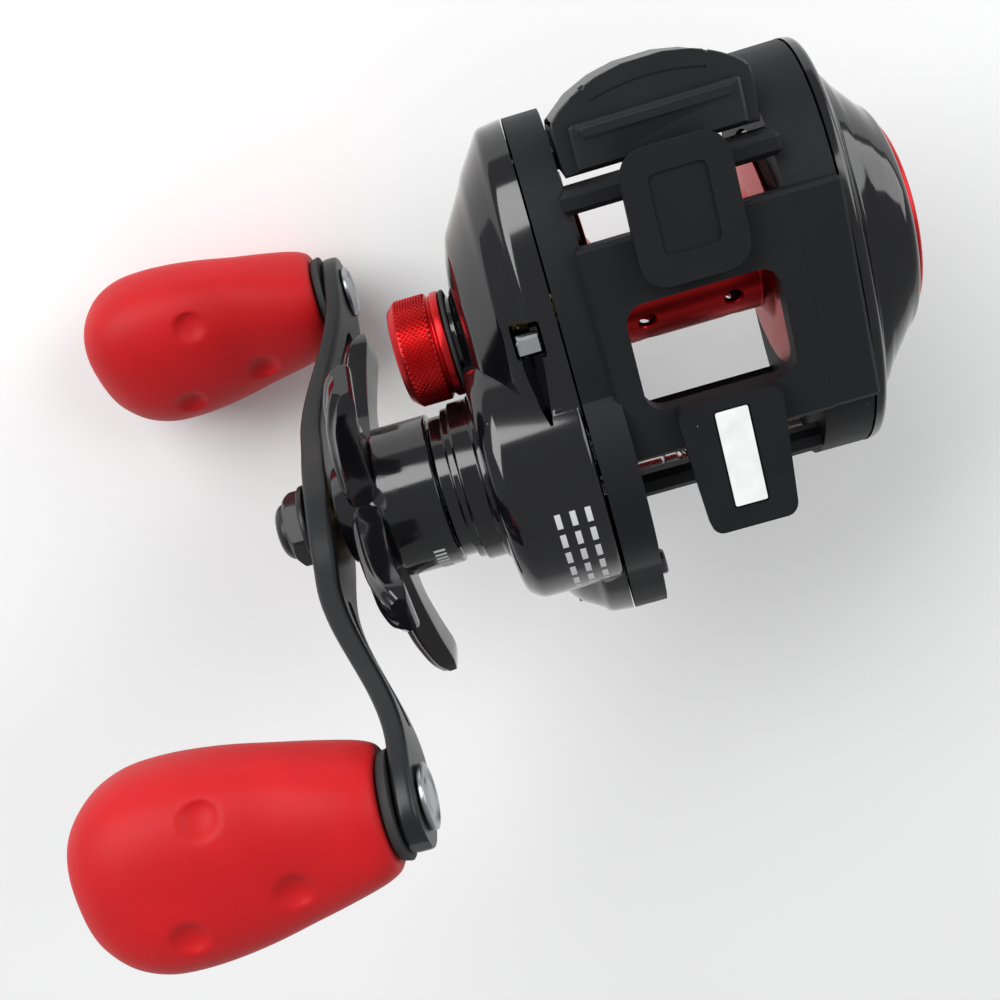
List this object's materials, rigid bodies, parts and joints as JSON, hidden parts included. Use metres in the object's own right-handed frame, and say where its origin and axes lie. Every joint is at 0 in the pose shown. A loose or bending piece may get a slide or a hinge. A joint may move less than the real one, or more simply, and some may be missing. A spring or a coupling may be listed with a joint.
{
  "type": "baitcasting reel",
  "caption": "Low-profile left-handed baitcasting reel with two-wing foot, drilled spool, star drag, twin-knob handle, level wind and thumb-bar clutch.",
  "frame": {"origin": "on the seating face of the foot's rear wing, on the line of pull, 11.4 mm behind the middle of the foot", "axes": "The reel is stored foot up. +Z out of the foot's seating face, towards the rod; +X to the palm side, so the handle is on -X; +Y to the rear, towards the thumb bar, so line leaves towards -Y."},
  "size_m": [0.1286, 0.0898, 0.1011],
  "materials": {
    "black_frame": "matte moulded black",
    "black_gloss": "gloss black",
    "black_satin": "satin black coating",
    "red_rubber": "soft matte red",
    "red_metal": "red anodised",
    "brass": "machined",
    "steel": "machined",
    "dark_steel": "blackened",
    "carbon": "woven fibre washer",
    "white_label": "blank label",
    "ceramic": "polished ceramic",
    "rubber": "black rubber",
    "nylon": "natural nylon"
  },
  "bodies": {
    "frame": {"frame": "black_frame", "foot_label": "white_label", "gear_side_cover": "black_gloss", "cover_screw_1": "dark_steel", "cover_screw_2": "dark_steel", "cover_screw_3": "dark_steel", "palm_side_cover": "black_gloss", "palm_cover_pin_1": "dark_steel", "palm_cover_pin_2": "dark_steel", "palm_trim_ring": "red_metal", "magnet_brake_plate": "steel", "spool_bearing_cap_side": "steel", "spool_bearing_palm_side": "steel", "pinion_bearing": "steel", "one_way_bearing": "dark_steel", "cap_o_ring": "rubber", "guide_rod": "steel", "yoke_spring_upper": "steel", "yoke_spring_lower": "steel"},
    "handle": {"drive_shaft": "steel", "handle_arm": "black_satin", "handle_nut": "black_satin", "handle_spacer": "brass", "drag_spring_washer_inner": "brass", "drag_spring_washer_outer": "brass", "drag_sleeve": "steel", "drag_pressure_plate": "steel", "drag_washer_outer": "carbon", "drag_plate_inner": "steel", "drag_washer_inner": "carbon", "drive_gear": "brass", "ratchet_wheel": "steel", "level_wind_drive_gear": "nylon", "knob_spindle_front": "steel", "knob_spindle_rear": "steel", "knob_collar_front": "rubber", "knob_collar_rear": "rubber"},
    "star_drag": {"star_drag": "black_gloss"},
    "knob_front": {"knob_front": "red_rubber", "knob_bushing_front": "nylon"},
    "knob_rear": {"knob_rear": "red_rubber", "knob_bushing_rear": "nylon"},
    "spool": {"spool": "red_metal", "spool_shaft": "steel"},
    "pinion": {"pinion_gear": "brass"},
    "worm": {"worm_shaft": "steel", "worm_gear": "nylon"},
    "line_guide": {"line_guide": "black_gloss", "line_guide_insert": "ceramic", "guide_pawl": "brass"},
    "cast_control_cap": {"cast_control_cap": "red_metal", "cast_control_shim": "nylon"},
    "brake_dial": {"brake_dial": "black_gloss"},
    "thumb_bar": {"thumb_bar": "black_satin"},
    "clutch_cam": {"clutch_cam": "steel"},
    "clutch_yoke": {"clutch_yoke": "nylon"},
    "anti_reverse_pawl": {"anti_reverse_pawl": "steel"},
    "side_port_latch": {"side_port_latch": "steel"}
  },
  "joints": [
    {"name": "handle_turn", "type": "hinge", "parent": "frame", "child": "handle", "pos_m": [-0.04, -0.0263, -0.0193], "axis": [1, 0, 0], "continuous": true},
    {"name": "spool_spin", "type": "hinge", "parent": "frame", "child": "spool", "pos_m": [0, -0.0064, -0.0235], "axis": [1, 0, 0], "continuous": true},
    {"name": "pinion_spin", "type": "hinge", "parent": "frame", "child": "pinion", "pos_m": [-0.025, -0.0064, -0.0235], "axis": [1, 0, 0], "continuous": true},
    {"name": "worm_spin", "type": "hinge", "parent": "frame", "child": "worm", "pos_m": [0, -0.03458, -0.02375], "axis": [1, 0, 0], "continuous": true},
    {"name": "star_drag_turn", "type": "hinge", "parent": "handle", "child": "star_drag", "pos_m": [-0.047, -0.0263, -0.0193], "axis": [1, 0, 0], "range_deg": [-180, 180]},
    {"name": "knob_front_spin", "type": "hinge", "parent": "handle", "child": "knob_front", "pos_m": [-0.076, -0.05116, 0.02047], "axis": [1, 0, 0], "continuous": true},
    {"name": "knob_rear_spin", "type": "hinge", "parent": "handle", "child": "knob_rear", "pos_m": [-0.076, -0.00144, -0.05907], "axis": [1, 0, 0], "continuous": true},
    {"name": "cast_control_turn", "type": "hinge", "parent": "frame", "child": "cast_control_cap", "pos_m": [-0.037, -0.0064, -0.0235], "axis": [1, 0, 0], "range_deg": [-180, 180]},
    {"name": "brake_dial_turn", "type": "hinge", "parent": "frame", "child": "brake_dial", "pos_m": [0.03, -0.0064, -0.0235], "axis": [1, 0, 0], "range_deg": [0, 300]},
    {"name": "line_guide_travel", "type": "slide", "parent": "frame", "child": "line_guide", "axis": [1, 0, 0], "range_m": [-0.0065, 0.0065]},
    {"name": "thumb_bar_press", "type": "slide", "parent": "frame", "child": "thumb_bar", "axis": [0, 0, 1], "range_m": [0, 0.003]},
    {"name": "clutch_cam_turn", "type": "hinge", "parent": "frame", "child": "clutch_cam", "pos_m": [-0.0197, -0.0064, -0.0235], "axis": [1, 0, 0], "range_deg": [0, 8.7]},
    {"name": "clutch_yoke_slide", "type": "slide", "parent": "frame", "child": "clutch_yoke", "axis": [-1, 0, 0], "range_m": [0, 0.001]},
    {"name": "anti_reverse_pawl_swing", "type": "hinge", "parent": "frame", "child": "anti_reverse_pawl", "pos_m": [-0.025, -0.039, -0.0112], "axis": [1, 0, 0], "range_deg": [0, 12]},
    {"name": "side_port_latch_slide", "type": "slide", "parent": "frame", "child": "side_port_latch", "axis": [0, 1, 0], "range_m": [0, 0.0013]}
  ],
  "couplings": [
    {"joint": "pinion_spin", "follows": "handle_turn", "ratio": -6.4},
    {"joint": "spool_spin", "follows": "handle_turn", "ratio": -6.4},
    {"joint": "worm_spin", "follows": "handle_turn", "ratio": -1.1364},
    {"joint": "clutch_cam_turn", "follows": "thumb_bar_press", "rad_per_m": 50},
    {"joint": "clutch_yoke_slide", "follows": "thumb_bar_press", "ratio": 0.33333}
  ]
}
